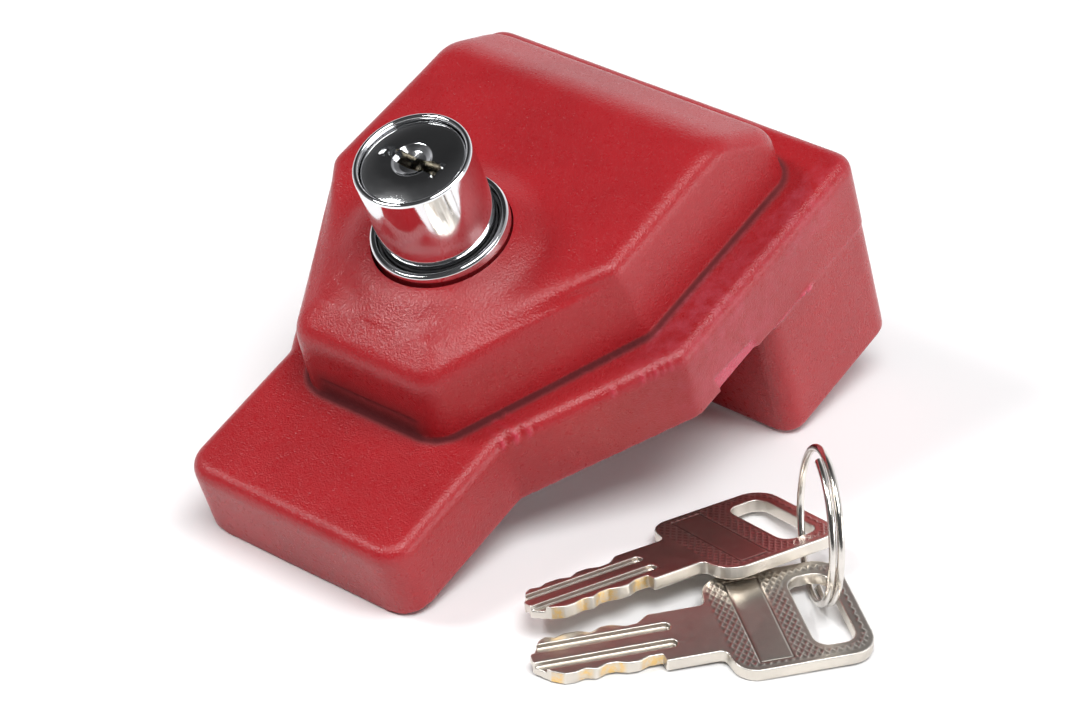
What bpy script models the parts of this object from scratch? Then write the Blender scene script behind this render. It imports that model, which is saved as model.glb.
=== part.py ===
"""Push-in gladhand (trailer air coupler) lock with two keys on a split ring.

A moulded housing covers the air coupling: a tongue at the front, a faceted dome over the lock
and a deep leg at the back with an arc slot for the coupling's flange.  A sprung plunger in a
steel sleeve drives a round pin out of the underside.  The key turns a wafer plug whose cam tab
swings into a groove of the sleeve and holds the plunger in.

Lengths are in millimetres and are scaled to metres when a mesh is made.  Three frames are used:
the housing frame (X tongue to leg, Z up, Z = 0 on the underside), which stands tilted on the
table; the lock cylinder's frame inside it (Z along the plunger); and one frame per key.
"""
import math

import bmesh
import bpy
from mathutils import Euler, Matrix, Vector

MM = 0.001

# Whole object: where the tongue's bottom front edge stands, and the housing's tilt.
ORIGIN = (-56.016, 24.263, 0.0)
HOUSING_TILT = 19.17

# Housing outline, seen from above: half widths at each X.
TONGUE_HALF = 24.4
KINK_X = 30.3
FLARE_X = 60.4
PLATE_HALF = 41.7
BACK_X = 113.9
PLATE_T = 15.6
PLATE_EDGE_R = 4.5
LEG_X = 81.4
LEG_DEPTH = 28.3
PARTING_STEP = 0.12

# Dome: (x, half width, z) of the foot, shoulder and top corners, front to back.
DOME_FOOT = ((24.7, 15.0, 15.6), (61.7, 33.4, 15.6), (106.2, 33.4, 15.6))
DOME_SHOULDER = ((25.4, 14.6, 29.0), (60.9, 32.3, 27.0), (105.6, 32.8, 24.8))
DOME_TOP = ((32.6, 11.7, 32.5), (59.8, 31.4, 33.2), (92.3, 31.3, 34.05))
# How far back the shoulder's and the top's bends are rounded, at each of the three corners.
DOME_BENDS = ((3.0, 1.8), (3.4, 3.4), (3.4, 5.2))
# Low boss round the sleeve on the dome's top: (radius, z) profile, its place and slope.
BOSS_X, BOSS_SLOPE = 52.2, 1.5
BOSS = ((13.4, 35.4), (14.5, 35.15), (15.7, 34.6), (17.0, 33.9), (18.3, 33.3), (19.4, 32.9),
        (16.0, 28.5))

# Jaw slot in the leg, an arc as of the coupling's round flange.
SLOT_R = 42.0
SLOT_LOW, SLOT_HIGH = -14.5, -4.5

# Underside cover.
COVER_X0, COVER_X1, COVER_HALF = 33.5, 79.5, 21.0
COVER_RECESS = 3.0
SCREW_SPOTS = ((38.0, -16.5), (38.0, 16.5), (75.0, -16.5), (75.0, 16.5))

# Lock cylinder: a point on its axis, lean to the front, travel.
AXIS_X, AXIS_Z, AXIS_LEAN = 52.5, 31.24, 4.1
TRAVEL = 10.0
BARREL_R, BARREL_TOP, BARREL_LOW = 10.5, 54.4, 26.4
SLEEVE_R, SLEEVE_TOP, SLEEVE_LOW = 12.36, 37.8, 3.4
SLEEVE_BODY_R, SLEEVE_SHOULDER = 15.0, 26.9
SLEEVE_BORE = 10.62
CAM_LOW, CAM_HIGH, CAM_REACH = 23.8, 26.1, 12.8
GROOVE_R = 13.1
GUIDE_PIN_Z = 29.4
PLUG_R, PLUG_HEAD_R, PLUG_FACE = 7.0, 9.3, 54.2
WAFER_Z = (48.6, 46.0, 43.4, 40.8, 38.2, 35.6)
WAFER_SHIFT = (0.35, -0.2, 0.1, -0.35, 0.25, -0.1)
SPRING_LOW, SPRING_HIGH, SPRING_R, SPRING_WIRE = 5.6, 20.85, 6.2, 0.55

# Keys: tip position and (roll, pitch, yaw), in the table frame.
KEY_T = 2.3
KEY_LEN, KEY_BOW_HALF, KEY_COLLAR_HALF = 56.7, 12.4, 6.1
KEY_POSES = {
    "key_1": ((9.1, -42.0, 4.4), (-11.5, 1.75, -18.6)),
    "key_2": ((2.1, -48.4, 0.42), (4.4, -0.97, -36.3)),
}
RING_CENTRE, RING_LEAN, RING_YAW = (49.7, -72.15, 13.93), 2.2, 48.0
RING_R, RING_WIRE, RING_TURNS, RING_START = 13.15, 0.68, 1.5, 91.0


# ---------------------------------------------------------------- scene and helpers
for old in list(bpy.data.objects):
    bpy.data.objects.remove(old, do_unlink=True)

parts = bpy.data.collections.new("gladhand_lock")
cutters = bpy.data.collections.new("cutters")
for coll in (parts, cutters):
    bpy.context.scene.collection.children.link(coll)


def material(name, colour, roughness, metallic):
    mat = bpy.data.materials.new(name)
    mat.use_nodes = True
    shader = mat.node_tree.nodes["Principled BSDF"]
    shader.inputs["Base Color"].default_value = (*colour, 1.0)
    shader.inputs["Roughness"].default_value = roughness
    shader.inputs["Metallic"].default_value = metallic
    return mat


RED = material("red_plastic", (0.33, 0.012, 0.02), 0.45, 0.0)
CHROME = material("chrome", (0.82, 0.82, 0.84), 0.08, 1.0)
STEEL = material("steel", (0.56, 0.57, 0.58), 0.3, 1.0)
BRASS = material("brass", (0.78, 0.6, 0.3), 0.3, 1.0)
NICKEL = material("nickel", (0.66, 0.62, 0.56), 0.25, 1.0)
RUBBER = material("rubber", (0.02, 0.02, 0.02), 0.7, 0.0)


def empty(name, parent, location, rotation):
    """An empty frame; location in mm, rotation in degrees."""
    obj = bpy.data.objects.new(name, None)
    obj.empty_display_size = 0.01
    obj.location = Vector(location) * MM
    obj.rotation_euler = Euler([math.radians(a) for a in rotation])
    obj.parent = parent
    parts.objects.link(obj)
    return obj


def add(name, bm, mat, frame, sharp=35.0, coll=parts):
    """Turn a bmesh drawn in mm into a named object."""
    bmesh.ops.scale(bm, vec=(MM, MM, MM), verts=bm.verts)
    bmesh.ops.recalc_face_normals(bm, faces=bm.faces)
    mesh = bpy.data.meshes.new(name)
    bm.to_mesh(mesh)
    bm.free()
    mesh.shade_smooth()
    mesh.set_sharp_from_angle(angle=math.radians(sharp))
    if mat:
        mesh.materials.append(mat)
    obj = bpy.data.objects.new(name, mesh)
    obj.parent = frame
    coll.objects.link(obj)
    return obj


def boolean(obj, cutter, operation="DIFFERENCE"):
    """Cut obj by cutter, or join the two; the cutter stays behind as a wire shape."""
    mod = obj.modifiers.new(operation.lower(), "BOOLEAN")
    mod.operation = operation
    mod.solver = "EXACT"
    mod.object = cutter
    cutter.hide_render = True
    cutter.display_type = "WIRE"


def rounded(corners, steps=4):
    """Outline points from (x, y, radius) corners, each corner turned into an arc."""
    points = []
    for i, (x, y, r) in enumerate(corners):
        here = Vector((x, y))
        a = (Vector(corners[i - 1][:2]) - here).normalized()
        b = (Vector(corners[(i + 1) % len(corners)][:2]) - here).normalized()
        half = a.angle(b) / 2
        if r <= 0:
            points.append(here)
            continue
        reach = r / math.tan(half)
        centre = here + (a + b).normalized() * (r / math.sin(half))
        start = here + a * reach - centre
        turn = math.pi - 2 * half
        if a.x * b.y - a.y * b.x > 0:
            turn = -turn
        for k in range(steps + 1):
            t = turn * k / steps
            points.append(centre + Vector((start.x * math.cos(t) - start.y * math.sin(t),
                                           start.x * math.sin(t) + start.y * math.cos(t))))
    return points


def prism(outline, low, high):
    """Solid between two heights over an outline."""
    bm = bmesh.new()
    face = bm.faces.new([bm.verts.new((p[0], p[1], low)) for p in outline])
    grown = bmesh.ops.extrude_face_region(bm, geom=[face])
    bmesh.ops.translate(bm, vec=(0, 0, high - low),
                        verts=[v for v in grown["geom"] if isinstance(v, bmesh.types.BMVert)])
    return bm


def round_rim(bm, height, radius, segments):
    """Round the edges of a prism that lie at one height."""
    rim = [e for e in bm.edges if all(abs(v.co.z - height) < 1e-4 for v in e.verts)]
    bmesh.ops.bevel(bm, geom=rim, offset=radius, segments=segments, profile=0.5,
                    affect="EDGES", clamp_overlap=True)
    return bm


def lathe(name, profile, mat, frame, steps=40, coll=parts):
    """Solid of revolution about Z from closed (radius, z) points, outer side top to bottom."""
    bm = bmesh.new()
    verts = [bm.verts.new((r * MM, 0, z * MM)) for r, z in profile]
    for a, b in zip(verts, verts[1:] + verts[:1]):
        if not (a.co.x < 1e-9 and b.co.x < 1e-9):
            bm.edges.new((a, b))
    mesh = bpy.data.meshes.new(name)
    bm.to_mesh(mesh)
    bm.free()
    if mat:
        mesh.materials.append(mat)
    obj = bpy.data.objects.new(name, mesh)
    obj.parent = frame
    coll.objects.link(obj)
    screw = obj.modifiers.new("turn", "SCREW")
    screw.angle = 2 * math.pi
    screw.steps = screw.render_steps = steps
    screw.use_merge_vertices = True
    screw.merge_threshold = 0.00001
    screw.use_smooth_shade = False
    return obj


def box(low, high):
    """A plain block between two corners."""
    return prism([(low[0], low[1]), (high[0], low[1]), (high[0], high[1]), (low[0], high[1])],
                 low[2], high[2])


def rod(radius, low, high, at=(0, 0), steps=32):
    """A plain round bar along Z."""
    return prism([(at[0] + radius * math.cos(2 * math.pi * k / steps),
                   at[1] + radius * math.sin(2 * math.pi * k / steps)) for k in range(steps)],
                 low, high)


def cutter(name, bm, frame):
    return add("cut_" + name, bm, None, frame, coll=cutters)


table = empty("table_frame", None, ORIGIN, (0, 0, 0))
lock = empty("housing_frame", table, (0, 0, 0), (0, -HOUSING_TILT, 0))
lean = math.radians(AXIS_LEAN)
AXIS_FOOT = (AXIS_X + AXIS_Z * math.sin(lean), 0, AXIS_Z * (1 - math.cos(lean)))
cylinder = empty("cylinder_frame", lock, AXIS_FOOT, (0, -AXIS_LEAN, 0))


# ---------------------------------------------------------------- housing
def mirrored(half):
    """Close a half outline, given front to back on +Y, by its mirror image on -Y."""
    return [(x, -y, r) for x, y, r in half] + [(x, y, r) for x, y, r in reversed(half)]


plate_half = [(0, TONGUE_HALF, 5.4), (KINK_X, TONGUE_HALF, 2.5), (FLARE_X, PLATE_HALF, 4.0),
              (BACK_X, PLATE_HALF, 4.2)]
plate = round_rim(prism(rounded(mirrored(plate_half)), 0, PLATE_T), PLATE_T, PLATE_EDGE_R, 5)
housing = add("housing", plate, RED, lock)

s = PARTING_STEP
leg_half = [(LEG_X, PLATE_HALF - s, 4.0), (BACK_X - s, PLATE_HALF - s, 4.2)]
leg = round_rim(prism(rounded(mirrored(leg_half)), -LEG_DEPTH, 8), -LEG_DEPTH, 1.0, 3)
boolean(housing, cutter("leg", leg, lock), "UNION")


def smooth_path(points, cuts, steps):
    """Points along a bent line whose inner bends are replaced by short curves."""
    path = [points[0]]
    for i in range(1, len(points) - 1):
        p, q, r = points[i - 1], points[i], points[i + 1]
        a = q + (p - q).normalized() * cuts[i - 1]
        b = q + (r - q).normalized() * cuts[i - 1]
        for k in range(steps + 1):
            t = k / steps
            path.append(a.lerp(q, t).lerp(q.lerp(b, t), t))
    return path


def dome():
    """Loft of the dome from its foot to its sloped top, in rings of three mirrored corners."""
    columns = []
    for foot, shoulder, top, bends in zip(DOME_FOOT, DOME_SHOULDER, DOME_TOP, DOME_BENDS):
        foot, shoulder, top = Vector(foot), Vector(shoulder), Vector(top)
        slope = (DOME_TOP[2][2] - DOME_TOP[0][2]) / (DOME_TOP[2][0] - DOME_TOP[0][0])
        middle = Vector((62.0, 0, 0))
        inward = Vector((middle.x - top.x, middle.y - top.y, 0)).normalized()
        inner = top + Vector((inward.x, inward.y, inward.x * slope)) * 8
        sunk = Vector((foot.x, foot.y, foot.z - 4))
        columns.append([sunk, foot] + smooth_path([foot, shoulder, top, inner], bends, 4)[1:])
    bm = bmesh.new()
    rings = []
    levels = len(columns[0])
    for k in range(levels):
        corner = [col[k] for col in columns]
        radius = 6.0 - 2.0 * k / levels
        xs, zs = [c.x for c in corner], [c.z for c in corner]
        ring = []
        for p in rounded(mirrored([(c.x, c.y, radius) for c in corner]), steps=5):
            x = min(max(p[0], xs[0]), xs[2])
            i = 0 if x < xs[1] else 1
            z = zs[i] + (zs[i + 1] - zs[i]) * (x - xs[i]) / (xs[i + 1] - xs[i])
            ring.append(bm.verts.new((p[0], p[1], z)))
        rings.append(ring)
    for low, high in zip(rings, rings[1:]):
        for i, v in enumerate(low):
            j = (i + 1) % len(low)
            bm.faces.new((v, low[j], high[j], high[i]))
    bm.faces.new(rings[-1])
    bm.faces.new(list(reversed(rings[0])))
    return bm


boolean(housing, cutter("dome", dome(), lock), "UNION")
boss_frame = empty("boss_frame", lock, (BOSS_X, 0, 0), (0, -BOSS_SLOPE, 0))
boss = lathe("cut_boss", [(0, BOSS[0][1])] + list(BOSS) + [(0, BOSS[-1][1])], None, boss_frame, 48,
             coll=cutters)
boolean(housing, boss, "UNION")
boolean(housing, cutter("jaw", rod(SLOT_R, SLOT_LOW, SLOT_HIGH, (AXIS_X, 0), 72), lock))
recess = rounded([(COVER_X0 - 0.3, -COVER_HALF - 0.3, 4.3), (COVER_X1 + 0.3, -COVER_HALF - 0.3, 4.3),
                  (COVER_X1 + 0.3, COVER_HALF + 0.3, 4.3), (COVER_X0 - 0.3, COVER_HALF + 0.3, 4.3)])
boolean(housing, cutter("recess", prism(recess, -2, COVER_RECESS), lock))
boolean(housing, cutter("bore", rod(15.3, -6, 27.7, steps=48), cylinder))
boolean(housing, cutter("hole", rod(12.9, 20, 50, steps=48), cylinder))
for i, (x, y) in enumerate(SCREW_SPOTS, 1):
    boolean(housing, cutter(f"screw_{i}", rod(2.2, -1, 13.6, (x, y), 20), lock))


# ---------------------------------------------------------------- underside cover
def cover_outline(inset):
    return rounded([(COVER_X0 + inset, -COVER_HALF + inset, 4), (COVER_X1 - inset, -COVER_HALF + inset, 4),
                    (COVER_X1 - inset, COVER_HALF - inset, 4), (COVER_X0 + inset, COVER_HALF - inset, 4)])


cover = add("base_cover", prism(cover_outline(0), 0.2, 2.0), STEEL, lock)
boolean(cover, cutter("nose", rod(6.9, -3, 8, steps=40), cylinder))
for i, (x, y) in enumerate(SCREW_SPOTS, 1):
    sink = [(4.5, -0.42), (4.5, -0.4), (2.25, 1.85), (2.25, 3.0), (0, 3.0), (0, -0.42)]
    spot = empty(f"screw_spot_{i}", lock, (x, y, 0), (0, 0, 0))
    boolean(cover, lathe(f"cut_sink_{i}", [(r, z) for r, z in reversed(sink)], None, spot, 20,
                         coll=cutters))

gasket = add("cover_gasket", prism(cover_outline(0.8), 2.1, 2.9), RUBBER, lock)
boolean(gasket, cutter("gasket_hole", rod(15.6, -3, 9, steps=48), cylinder))
for i, (x, y) in enumerate(SCREW_SPOTS, 1):
    boolean(gasket, cutter(f"gasket_screw_{i}", rod(2.4, 0, 6, (x, y), 20), lock))

for i, (x, y) in enumerate(SCREW_SPOTS, 1):
    spot = bpy.data.objects[f"screw_spot_{i}"]
    screw = lathe(f"cover_screw_{i}", [(0, 13.2), (1.95, 12.6), (1.95, 1.9), (3.7, 0.25), (0, 0.25)],
                  STEEL, spot, 20)
    for k, turn in enumerate((45, 135)):
        blade = box((-2.0, -0.35, -0.5), (2.0, 0.35, 1.3))
        bmesh.ops.rotate(blade, matrix=Matrix.Rotation(math.radians(turn), 3, "Z"), verts=blade.verts)
        boolean(screw, cutter(f"drive_{i}_{k}", blade, spot))


# ---------------------------------------------------------------- sleeve and fixed pieces
sleeve = lathe("lock_sleeve", [
    (11.9, SLEEVE_TOP), (SLEEVE_R, SLEEVE_TOP - 0.45), (SLEEVE_R, SLEEVE_SHOULDER),
    (SLEEVE_BODY_R, SLEEVE_SHOULDER), (SLEEVE_BODY_R, SLEEVE_LOW), (6.4, SLEEVE_LOW),
    (6.4, 4.6), (SLEEVE_BORE, 4.6), (SLEEVE_BORE, CAM_LOW - TRAVEL - 0.3),
    (GROOVE_R, CAM_LOW - TRAVEL - 0.3), (GROOVE_R, CAM_HIGH - TRAVEL + 0.3),
    (SLEEVE_BORE, CAM_HIGH - TRAVEL + 0.3), (SLEEVE_BORE, CAM_LOW - 0.3),
    (GROOVE_R, CAM_LOW - 0.3), (GROOVE_R, CAM_HIGH + 0.3), (SLEEVE_BORE, CAM_HIGH + 0.3),
    (SLEEVE_BORE, 35.6), (11.6, 35.6), (11.6, SLEEVE_TOP - 0.3),
    (11.75, SLEEVE_TOP)], CHROME, cylinder)
boolean(sleeve, cutter("cam_way", box((-GROOVE_R + 0.2, -2.8, CAM_LOW - TRAVEL - 0.2),
                                      (-9.5, 2.8, CAM_HIGH + 0.2)), cylinder))
pin_hole = rod(1.3, 9.0, 14.0, steps=20)
bmesh.ops.rotate(pin_hole, matrix=Matrix.Rotation(math.radians(90), 3, "Y"), verts=pin_hole.verts)
bmesh.ops.translate(pin_hole, vec=(0, 0, GUIDE_PIN_Z), verts=pin_hole.verts)
boolean(sleeve, cutter("pin_hole", pin_hole, cylinder))

lathe("sleeve_gasket", [(14.8, 27.6), (14.8, 27.0), (12.7, 27.0), (12.7, 27.6)], RUBBER, cylinder)
lathe("wiper_seal", [(11.4, 37.1), (11.5, 36.9), (11.5, 35.75), (10.62, 35.75), (10.62, 37.0),
                     (10.75, 37.1)], RUBBER, cylinder)
lathe("guide_bush", [(10.2, 5.5), (10.2, 4.7), (6.0, 4.7), (6.0, 0.6), (4.15, 0.6), (4.15, 5.5)],
      BRASS, cylinder, 32)
guide = rod(1.2, 9.45, 12.25, steps=20)
bmesh.ops.rotate(guide, matrix=Matrix.Rotation(math.radians(90), 3, "Y"), verts=guide.verts)
bmesh.ops.translate(guide, vec=(0, 0, GUIDE_PIN_Z), verts=guide.verts)
add("guide_pin", guide, STEEL, cylinder)


# ---------------------------------------------------------------- plunger
barrel = lathe("plunger_barrel", [
    (9.75, BARREL_TOP), (10.25, BARREL_TOP - 0.1), (BARREL_R, BARREL_TOP - 0.4),
    (BARREL_R, BARREL_LOW + 0.4), (BARREL_R - 0.4, BARREL_LOW), (8.4, BARREL_LOW), (8.4, 29.0),
    (PLUG_R + 0.12, 29.0), (PLUG_R + 0.12, 51.0), (PLUG_HEAD_R + 0.15, 51.0),
    (PLUG_HEAD_R + 0.15, BARREL_TOP - 0.1), (9.55, BARREL_TOP)], CHROME, cylinder)
boolean(barrel, cutter("guide_way", box((9.25, -1.35, GUIDE_PIN_Z - 1.35),
                                        (12.0, 1.35, GUIDE_PIN_Z + TRAVEL + 1.35)), cylinder))

plug = lathe("key_plug", [
    (0, PLUG_FACE - 0.9), (1.4, PLUG_FACE - 0.9), (2.9, PLUG_FACE - 0.6), (3.4, PLUG_FACE - 0.12),
    (3.7, PLUG_FACE), (PLUG_HEAD_R - 0.2, PLUG_FACE), (PLUG_HEAD_R, PLUG_FACE - 0.2), (PLUG_HEAD_R, 51.15),
    (PLUG_R, 51.15), (PLUG_R, 28.5), (6.1, 28.5), (6.1, 27.3), (PLUG_R, 27.3),
    (PLUG_R, 26.6), (4.9, 26.6), (4.9, 23.9), (0, 23.9)], CHROME, cylinder)
for i, (low, high) in enumerate((((3.5, -8), (8, 8)), ((-8, -8), (-3.5, 8)),
                                 ((-8, 3.5), (8, 8)), ((-8, -8), (8, -3.5)))):
    boolean(plug, cutter(f"tail_{i}", box((*low, 20), (*high, 26.55)), cylinder))
boolean(plug, cutter("stud_hole", rod(2.6, 20, 30.2, steps=24), cylinder))
boolean(plug, cutter("keyway", box((-1.25, -5.3, 31.5), (1.25, 5.9, 60)), cylinder))
boolean(plug, cutter("key_entry", box((-1.25, -5.3, 51.6), (1.25, 6.8, 60)), cylinder))
for i, z in enumerate(WAFER_Z, 1):
    boolean(plug, cutter(f"wafer_{i}", box((-3.2, -7.6, z - 0.75), (3.2, 7.6, z + 0.75)), cylinder))

for i, (z, shift) in enumerate(zip(WAFER_Z, WAFER_SHIFT), 1):
    wafer = add(f"wafer_{i}", box((-3.0, -6.2, z - 0.65), (3.0, 6.2, z + 0.65)), BRASS, cylinder)
    window = box((-1.5, shift - 5.3, z - 2), (1.5, shift + 5.3, z + 2))
    boolean(wafer, cutter(f"window_{i}", window, cylinder))

clip = lathe("plug_clip", [(8.1, 28.35), (8.1, 27.45), (6.25, 27.45), (6.25, 28.35)], STEEL, cylinder, 36)
boolean(clip, cutter("clip_gap", box((0, -3.0, 27), (10, 3.0, 29)), cylinder))

cam_points = []
cam_turn = math.asin(2.5 / 9.6)
for k in range(41):
    a = math.pi + cam_turn + (2 * math.pi - 2 * cam_turn) * k / 40
    cam_points.append((9.6 * math.cos(a), 9.6 * math.sin(a)))
cam_points += [(-CAM_REACH, 2.5), (-CAM_REACH, -2.5)]
cam = add("lock_cam", prism(cam_points, CAM_LOW, CAM_HIGH), STEEL, cylinder)
boolean(cam, cutter("cam_square", box((-3.6, -3.6, 20), (3.6, 3.6, 30)), cylinder))

lathe("locking_pin", [
    (0, 29.8), (2.1, 29.8), (2.4, 29.4), (2.4, 23.6), (6.5, 23.6), (6.5, 22.0), (4.0, 22.0), (4.0, 1.9),
    (3.0, 0.9), (0, 0.9)], STEEL, cylinder, 32)
lathe("spring_seat", [(8.8, 21.8), (8.8, 21.0), (4.3, 21.0), (4.3, 21.8)], STEEL, cylinder, 32)


def coil(name, points, radius, mat, frame, sides):
    """A round wire swept along 3D points (mm), closed at both ends."""
    curve = bpy.data.curves.new(name, "CURVE")
    curve.dimensions = "3D"
    curve.bevel_depth = radius * MM
    curve.bevel_resolution = (sides - 4) // 2
    curve.use_fill_caps = True
    spline = curve.splines.new("POLY")
    spline.points.add(len(points) - 1)
    for point, p in zip(spline.points, points):
        point.co = (p[0] * MM, p[1] * MM, p[2] * MM, 1)
    temp = bpy.data.objects.new(name + "_wire", curve)
    cutters.objects.link(temp)
    depsgraph = bpy.context.evaluated_depsgraph_get()
    mesh = bpy.data.meshes.new_from_object(temp.evaluated_get(depsgraph))
    bpy.data.objects.remove(temp, do_unlink=True)
    bm = bmesh.new()
    bm.from_mesh(mesh)
    bmesh.ops.remove_doubles(bm, verts=bm.verts, dist=0.000001)
    bmesh.ops.recalc_face_normals(bm, faces=bm.faces)
    bmesh.ops.scale(bm, vec=(1 / MM, 1 / MM, 1 / MM), verts=bm.verts)
    return add(name, bm, mat, frame, sharp=60)


SPRING_TURNS, STEPS = 4.1, 16
spring_points = []
for k in range(int(SPRING_TURNS * STEPS) + 1):
    a = 2 * math.pi * k / STEPS
    t = k / (SPRING_TURNS * STEPS)
    rise = min(max((t - 0.09) / 0.82, 0), 1)
    z = SPRING_LOW + SPRING_WIRE + rise * (SPRING_HIGH - SPRING_LOW - 2 * SPRING_WIRE)
    spring_points.append((SPRING_R * math.cos(a), SPRING_R * math.sin(a), z))
coil("return_spring", spring_points, SPRING_WIRE, STEEL, cylinder, 6)


# ---------------------------------------------------------------- keys and split ring
# Bitting as (distance from the tip, half width), one row per edge of the blade.
FAR_EDGE = ((0, 1.0), (2.4, 4.4), (3.6, 5.0), (5.2, 4.4), (6.8, 5.1), (9.2, 5.1), (11.2, 4.2),
            (13.0, 5.1), (15.0, 5.2), (17.3, 4.3), (19.2, 4.4), (20.6, 5.4), (21.5, KEY_COLLAR_HALF))
NEAR_EDGE = ((0, 1.0), (2.4, 3.8), (4.4, 5.0), (6.2, 5.0), (8.2, 4.5), (9.8, 5.1), (11.6, 4.3),
             (13.4, 4.3), (15.2, 5.0), (17.0, 5.1), (18.8, 4.3), (21.4, 4.3), (21.5, KEY_COLLAR_HALF))

for name, (tip, turn) in KEY_POSES.items():
    frame = empty(name + "_frame", table, tip, turn)
    corners = [(x, -w, 0) for x, w in NEAR_EDGE]
    corners += [(31.6, -KEY_COLLAR_HALF, 1.2), (32.6, -KEY_BOW_HALF, 4.2), (KEY_LEN, -KEY_BOW_HALF, 4.6),
                (KEY_LEN, KEY_BOW_HALF, 4.6), (32.6, KEY_BOW_HALF, 4.2), (31.6, KEY_COLLAR_HALF, 1.2)]
    corners += [(x, w, 0) for x, w in reversed(FAR_EDGE)]
    key = add(name, prism(rounded(corners, 5), 0, KEY_T), NICKEL, frame)
    hole = rounded([(46.6, -9.0, 2.6), (53.9, -9.0, 2.4), (53.9, 9.0, 2.4), (46.6, 9.0, 2.6)], 5)
    boolean(key, cutter(name + "_hole", prism(hole, -2, 6), frame))
    for i, (w, z0, z1) in enumerate(((2.35, 1.6, 4), (-2.0, 1.6, 4), (0.3, -2, 0.7))):
        flute = box((-2, w - 0.85, z0), (23.5, w + 0.85, z1))
        boolean(key, cutter(f"{name}_flute_{i}", flute, frame))

ring_frame = empty("ring_frame", table, RING_CENTRE, (90 + RING_LEAN, 0, RING_YAW))
ring_points = []
RING_STEPS = 48
total = int(RING_TURNS * RING_STEPS)
for k in range(total + 1):
    a = math.radians(RING_START) + 2 * math.pi * k / RING_STEPS
    z = (k / total - 0.5) * (2 * RING_WIRE + 0.08) * RING_TURNS
    ring_points.append((RING_R * math.cos(a), RING_R * math.sin(a), z))
coil("split_ring", ring_points, RING_WIRE, NICKEL, ring_frame, 8)
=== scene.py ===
"""Looks for the push-in gladhand lock: moulded red housing, chrome plunger, two keys on a ring.

Shapes are drawn in millimetres in their own frames and placed by the same frames as the CAD.
"""
import math

import bmesh
import bpy
import numpy as np
from mathutils import Euler, Matrix, Vector


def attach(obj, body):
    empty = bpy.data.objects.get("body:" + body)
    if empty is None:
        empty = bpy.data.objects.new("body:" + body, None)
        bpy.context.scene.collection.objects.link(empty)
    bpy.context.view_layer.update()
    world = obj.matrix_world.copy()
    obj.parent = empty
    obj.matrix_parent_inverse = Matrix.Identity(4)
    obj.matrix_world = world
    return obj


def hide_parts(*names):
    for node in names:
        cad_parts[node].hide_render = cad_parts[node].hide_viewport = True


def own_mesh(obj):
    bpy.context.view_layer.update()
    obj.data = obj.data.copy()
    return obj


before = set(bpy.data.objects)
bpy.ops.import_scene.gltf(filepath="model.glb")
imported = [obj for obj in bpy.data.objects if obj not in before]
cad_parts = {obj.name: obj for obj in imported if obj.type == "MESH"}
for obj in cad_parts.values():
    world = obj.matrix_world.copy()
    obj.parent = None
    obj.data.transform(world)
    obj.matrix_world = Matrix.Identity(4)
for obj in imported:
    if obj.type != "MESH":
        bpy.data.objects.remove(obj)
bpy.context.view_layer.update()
scene = bpy.context.scene
MM = 0.001

# ---------------------------------------------------------------- sizes, as in the CAD
# All in mm and degrees; the housing lies along x with its underside at z 0 and its leg below it.
ORIGIN = (-56.016, 24.263, 0.0)
HOUSING_TILT = 19.17
TONGUE_HALF, KINK_X, FLARE_X, PLATE_HALF, BACK_X = 24.4, 30.3, 60.4, 41.7, 113.9
PLATE_T, PLATE_EDGE_R, LEG_X, LEG_DEPTH, PARTING_STEP = 15.6, 4.5, 81.4, 28.3, 0.12
DOME_FOOT = ((24.7, 15.0, 15.6), (61.7, 33.4, 15.6), (106.2, 33.4, 15.6))
DOME_SHOULDER = ((25.4, 14.6, 29.0), (60.9, 32.3, 27.0), (105.6, 32.8, 24.8))
DOME_TOP = ((32.6, 11.7, 32.5), (59.8, 31.4, 33.2), (92.3, 31.3, 34.05))
DOME_BENDS = ((3.0, 1.6), (3.4, 3.0), (3.4, 5.2))
BOSS_X, BOSS_SLOPE = 52.2, 1.5
BOSS = ((13.4, 35.4), (14.5, 35.15), (15.7, 34.6), (17.0, 33.9), (18.3, 33.3), (19.4, 32.9),
        (16.0, 28.5))
SLOT_R, SLOT_LOW, SLOT_HIGH = 42.0, -14.5, -4.5
COVER_X0, COVER_X1, COVER_HALF, COVER_RECESS = 33.5, 79.5, 21.0, 3.0
SCREW_SPOTS = ((38.0, -16.5), (38.0, 16.5), (75.0, -16.5), (75.0, 16.5))
AXIS_X, AXIS_Z, AXIS_LEAN = 52.5, 31.24, 4.1
TRAVEL = 10.0
BARREL_R, BARREL_TOP, BARREL_LOW = 10.5, 54.4, 26.4
SLEEVE_R, SLEEVE_TOP, SLEEVE_LOW, SLEEVE_BODY_R, SLEEVE_SHOULDER = 12.36, 37.8, 3.4, 15.0, 26.9
SLEEVE_BORE, CAM_LOW, CAM_HIGH, GROOVE_R = 10.62, 23.8, 26.1, 13.1
GUIDE_PIN_Z = 29.4
SPRING_R, SPRING_LOW, SPRING_HIGH, SPRING_TURNS, SPRING_WIRE = 6.2, 5.6, 20.85, 4.1, 0.55
PLUG_R, PLUG_HEAD_R, PLUG_FACE = 7.0, 9.3, 54.2
WAFER_Z = (48.6, 46.0, 43.4, 40.8, 38.2, 35.6)
WAFER_SHIFT = (0.35, -0.2, 0.1, -0.35, 0.25, -0.1)
KEY_T, KEY_LEN, KEY_BOW_HALF, KEY_COLLAR_HALF = 2.3, 56.7, 12.4, 6.1
KEY_POSES = {
    "key_1": ((9.1, -42.0, 4.4), (-11.5, 1.75, -18.6)),
    "key_2": ((2.1, -48.4, 0.42), (4.4, -0.97, -36.3)),
}
RING_CENTRE, RING_LEAN, RING_YAW = (49.7, -72.15, 13.93), 2.2, 48.0
RING_R, RING_WIRE, RING_TURNS, RING_START = 13.15, 0.68, 1.5, 91.0


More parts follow.
